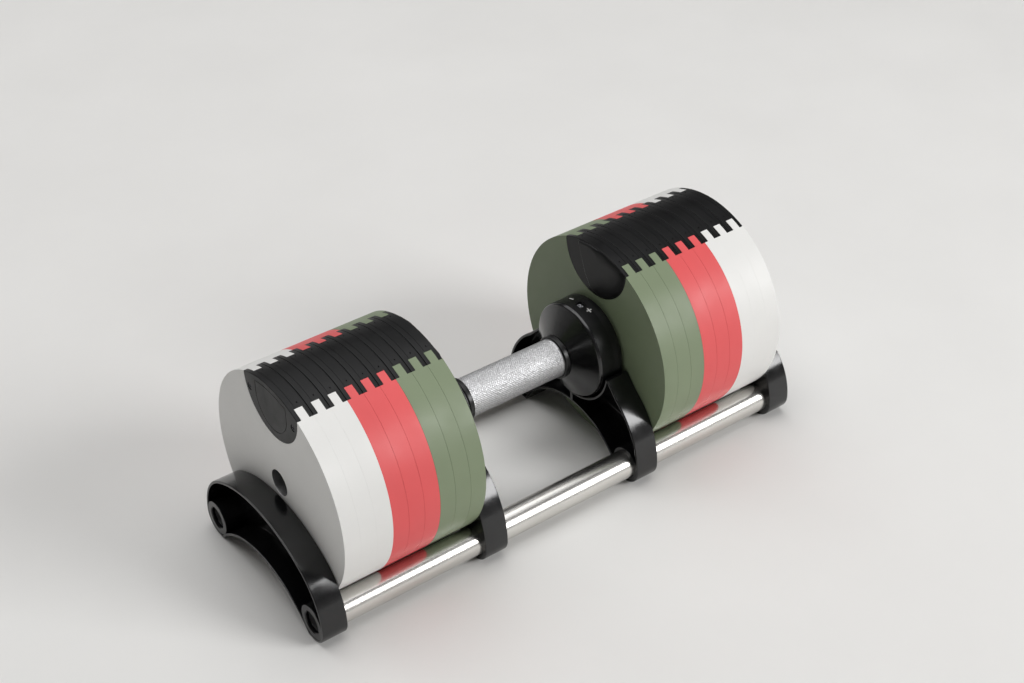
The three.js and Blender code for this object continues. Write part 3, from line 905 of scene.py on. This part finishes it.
def drum(name, side):
    """The housing: a cup with a stepped lip, a slot for its rod, and on the right a window."""
    near, far = DRUM_X
    section = [
        (near + 0.05, DRUM_BORE), (DRUM_FLOOR_X, DRUM_BORE), (DRUM_FLOOR_X, 2.0), (far, 2.0),
        (far, DRUM_LIP_R), (80.5, DRUM_LIP_R), (76.5, DRUM_R), (near, DRUM_R),
    ]
    body = lathe(name, filleted(section, [0.3, 0.5, 0, 0, 1.4, 4, 4, 0.08], 5), 160)
    plug = cylinder("plug", 3, DRUM_FLOOR_X + 0.1, far - 0.05, segments=48)
    combine(body, [plug], "UNION")
    cuts = [prism("slot", half_round(ROD_R + 0.35, 0.1, side), 80, 86)]
    if side > 0:
        cuts.append(box_piece("window", WINDOW_X, (-WINDOW_HALF, WINDOW_HALF), (35.5, 44)))
        cuts.append(upright("channel", PIN_X, 2.3, (-33, -20)))
        cuts.append(upright("pin_bore", PIN_X, 1.6, (-45, -36)))
    combine(body, cuts, "DIFFERENCE")
    if side > 0:
        combine(body, [box_piece("seat", (76.4, 82), (-3, 3), (-22, -20))], "UNION")
    if side < 0:
        flip(body)
    return finished(body, 32)


def number_wheel():
    """The number ring: a cup with one notch for the lock pin at each setting."""
    near, far = WHEEL_X
    rim = WHEEL_R - 0.1
    section = [
        (near, 13.0), (68.9, 13.0), (68.9, 35.8), (75.5, 35.8), (75.5, 31.4), (far, 31.4),
        (far, rim), (near, rim),
    ]
    radii = [0.2, 0.2, 0.8, 0.3, 0.2, 0.2, 0.4, 0.4]
    body = lathe("number_wheel", filleted(section, radii, 3), 160)
    notches = []
    for n in range(SETTINGS):
        angle = 2 * math.pi * n / SETTINGS + math.pi
        radial = Vector((0, math.sin(angle), math.cos(angle)))
        across = Vector((0, math.cos(angle), -math.sin(angle)))
        corners = [
            radial * 35.7 + across * 1.8, radial * 35.7 - across * 1.8,
            radial * 29 - across * 1.8, radial * 29 + across * 1.8,
        ]
        notches.append(rings("notch", [[(x, c.y, c.z) for c in corners] for x in (75.2, 78.2)]))
    combine(body, notches, "DIFFERENCE")
    return finished(body)


def ink(name, text, size, x, radius, angle, height):
    """A number wrapped on a cylinder about the axis, its foot towards the grip."""
    curve = bpy.data.curves.new(name, "FONT")
    curve.body = text
    curve.size = size
    curve.align_x = "CENTER"
    curve.align_y = "CENTER"
    curve.extrude = height / 2
    curve.resolution_u = 5
    flat = bpy.data.objects.new(name + "_flat", curve)
    bpy.context.scene.collection.objects.link(flat)
    graph = bpy.context.evaluated_depsgraph_get()
    mesh = bpy.data.meshes.new_from_object(flat.evaluated_get(graph))
    bpy.data.objects.remove(flat)
    bm = bmesh.new()
    bm.from_mesh(mesh)
    bmesh.ops.remove_doubles(bm, verts=bm.verts, dist=1e-5)
    xs = [v.co.x for v in bm.verts]
    ys = [v.co.y for v in bm.verts]
    middle = ((min(xs) + max(xs)) / 2, (min(ys) + max(ys)) / 2)
    for vertex in bm.verts:
        turn = math.radians(angle) - (vertex.co.x - middle[0]) / radius
        r = radius + vertex.co.z
        vertex.co = place(x + vertex.co.y - middle[1], r * math.sin(turn), r * math.cos(turn))
    bmesh.ops.recalc_face_normals(bm, faces=bm.faces)
    bm.to_mesh(mesh)
    bm.free()
    obj = bpy.data.objects.new(name, mesh)
    bpy.context.scene.collection.objects.link(obj)
    return obj


def mark(name, outline, x, angle):
    """A printed sign on the drum, thick enough to stand a hair proud."""
    layers = []
    for r in (DRUM_R - 0.05, DRUM_R + 0.06):
        layer = []
        for across, along in outline:
            turn = math.radians(angle) - across / DRUM_R
            layer.append((x + along, r * math.sin(turn), r * math.cos(turn)))
        layers.append(layer)
    return rings(name, layers)


def selector_rod(name, side):
    """A half-round bar with eased ends, and the stud that rides in the grip's groove."""
    body = prism(name, half_round(ROD_R, 0.45, side), ROD_X[0], ROD_X[1], 0.35)
    heights = (9.2, 13.9) if side > 0 else (-13.9, -9.2)
    combine(body, [upright("stud", STUD_X, 1.25, heights)], "UNION")
    if side < 0:
        flip(body)
    return finished(body)


def build_marks():
    """The signs printed on either side of the right drum's window."""
    bar = 0.55  # half the width of a stroke
    minus_reach = 2.8
    plus_reach = 2.4
    # points along its length keep the minus on the drum's curve
    steps = (-minus_reach, -1.7, -0.6, 0.6, 1.7, minus_reach)
    minus = [(across, -bar) for across in steps] + [(across, bar) for across in reversed(steps)]
    plus = [
        (-bar, -plus_reach), (bar, -plus_reach), (bar, -bar),
        (plus_reach, -bar), (plus_reach, bar), (bar, bar),
        (bar, plus_reach), (-bar, plus_reach), (-bar, bar),
        (-plus_reach, bar), (-plus_reach, -bar), (-bar, -bar),
    ]
    adopt(mark("mark_minus", minus, 73.9, 18.8), "handle", "drum_plastic", INK)
    adopt(mark("mark_plus", plus, 74.2, -13), "handle", "drum_plastic", INK)


def build_handle():
    adopt(knurled_grip(), "grip", "grip_steel", GRIP, "grip")
    adopt(number_wheel(), "grip", "number_plastic", WHEEL, "number_ring")
    for n in range(SETTINGS):
        number = f"{STEP_NUMBER * n:02d}"
        angle = 360 / SETTINGS * n
        made = ink(f"number_{number}", number, 5.4, NUMBER_X, WHEEL_R - 0.02, angle, 0.6)
        adopt(made, "grip", "number_plastic", INK_GREY)
    for side_name, side in SIDES:
        adopt(neck_ring(f"neck_band_{side_name}", side), "handle", "drum_plastic", DRUM,
              f"neck_ring_{side_name}")
        adopt(cone(f"cone_{side_name}", side), "handle", "collar_plastic", COLLAR,
              f"collar_{side_name}")
        adopt(drum(f"housing_{side_name}", side), "handle", "drum_plastic", DRUM,
              f"drum_{side_name}")
        adopt(selector_rod(f"bolt_{side_name}", side), f"rod_{side_name}", "rod_steel", ROD,
              f"selector_rod_{side_name}")
    build_marks()
    for node in ("lock_pin", "lock_spring"):
        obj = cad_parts[node]
        obj.data.materials.clear()
        obj.data.materials.append(ROD)


# ---------------------------------------------------------------- studio


def build_camera():
    """A camera that looks down on the dumbbell from the front left."""
    azimuth = math.radians(CAMERA_AZIMUTH)
    elevation = math.radians(CAMERA_ELEVATION)
    roll = math.radians(CAMERA_ROLL)
    back = Vector((
        math.sin(azimuth) * math.cos(elevation),
        -math.cos(azimuth) * math.cos(elevation),
        math.sin(elevation),
    ))
    camera_data = bpy.data.cameras.new("camera")
    camera_data.sensor_width = CAMERA_SENSOR / MM
    camera_data.lens = CAMERA_LENS / MM
    camera_data.clip_end = 60.0
    camera = bpy.data.objects.new("camera", camera_data)
    camera.location = Vector(CAMERA_AIM) + back * CAMERA_DISTANCE
    right = Vector((math.cos(azimuth), math.sin(azimuth), 0.0))
    up = back.cross(right)
    matrix = camera.matrix_world.to_3x3()
    matrix.col[0] = right * math.cos(roll) + up * math.sin(roll)
    matrix.col[1] = up * math.cos(roll) - right * math.sin(roll)
    matrix.col[2] = back
    camera.rotation_euler = matrix.to_euler()
    bpy.context.scene.collection.objects.link(camera)
    bpy.context.scene.camera = camera


def build_floor():
    """A plain square of pale paper."""
    mesh = bpy.data.meshes.new("floor")
    corners = [(x * FLOOR_HALF, y * FLOOR_HALF, 0) for x, y in ((-1, -1), (1, -1), (1, 1), (-1, 1))]
    mesh.from_pydata(corners, [], [(0, 1, 2, 3)])
    floor = bpy.data.objects.new("floor", mesh)
    bpy.context.scene.collection.objects.link(floor)
    paper = Material("floor_paper", IOR=1.4)
    paper.set("Base Color", paper.ramp(paper.noise(5, 5), [
        (0.3, (0.79, 0.782, 0.765)), (0.7, (0.82, 0.812, 0.795)),
    ]))
    paper.set("Roughness", paper.ranged(paper.noise(8, 4), 0.55, 0.7))
    floor.data.materials.append(paper.material)


def build_world():
    """A dim surround that glows towards the horizon."""
    world = bpy.data.worlds.new("studio")
    world.use_nodes = True
    nodes = world.node_tree.nodes
    links = world.node_tree.links
    background = nodes["Background"]
    background.inputs["Color"].default_value = (1.0, 0.985, 0.965, 1)
    height = nodes.new("ShaderNodeSeparateXYZ")
    glow = nodes.new("ShaderNodeMapRange")
    glow.inputs["From Min"].default_value = 0.0
    glow.inputs["From Max"].default_value = 0.25
    glow.inputs["To Min"].default_value = 0.47
    glow.inputs["To Max"].default_value = 0.085
    links.new(nodes.new("ShaderNodeTexCoord").outputs["Generated"], height.inputs["Vector"])
    links.new(height.outputs["Z"], glow.inputs["Value"])
    links.new(glow.outputs["Result"], background.inputs["Strength"])
    bpy.context.scene.world = world


def area_light(name, location, aim, size, power):
    """A soft rectangular light, unseen by the camera."""
    light = bpy.data.lights.new(name, "AREA")
    light.shape = "RECTANGLE"
    light.size = size[0]
    light.size_y = size[1]
    light.energy = power
    obj = bpy.data.objects.new(name, light)
    obj.location = location
    direction = Vector(aim) - Vector(location)
    obj.rotation_euler = direction.to_track_quat("-Z", "Y").to_euler()
    obj.visible_camera = False
    bpy.context.scene.collection.objects.link(obj)


def build_studio():
    """A camera, a plain pale floor and soft lights."""
    build_camera()
    build_floor()
    build_world()
    area_light("key", (1.9, -2.75, 1.9), (0, 0, 0.08), (1.6, 1.4), 88)
    area_light("top", (0.1, 0.4, 3.4), (0, 0.1, 0), (3.4, 3.0), 66)
    area_light("far", (-0.4, 3.2, 3.0), (-0.4, 3.0, 0), (4.0, 3.0), 46)


bpy.context.scene.view_settings.view_transform = "Standard"
build_studio()
build_cradle()
build_stacks()
build_handle()
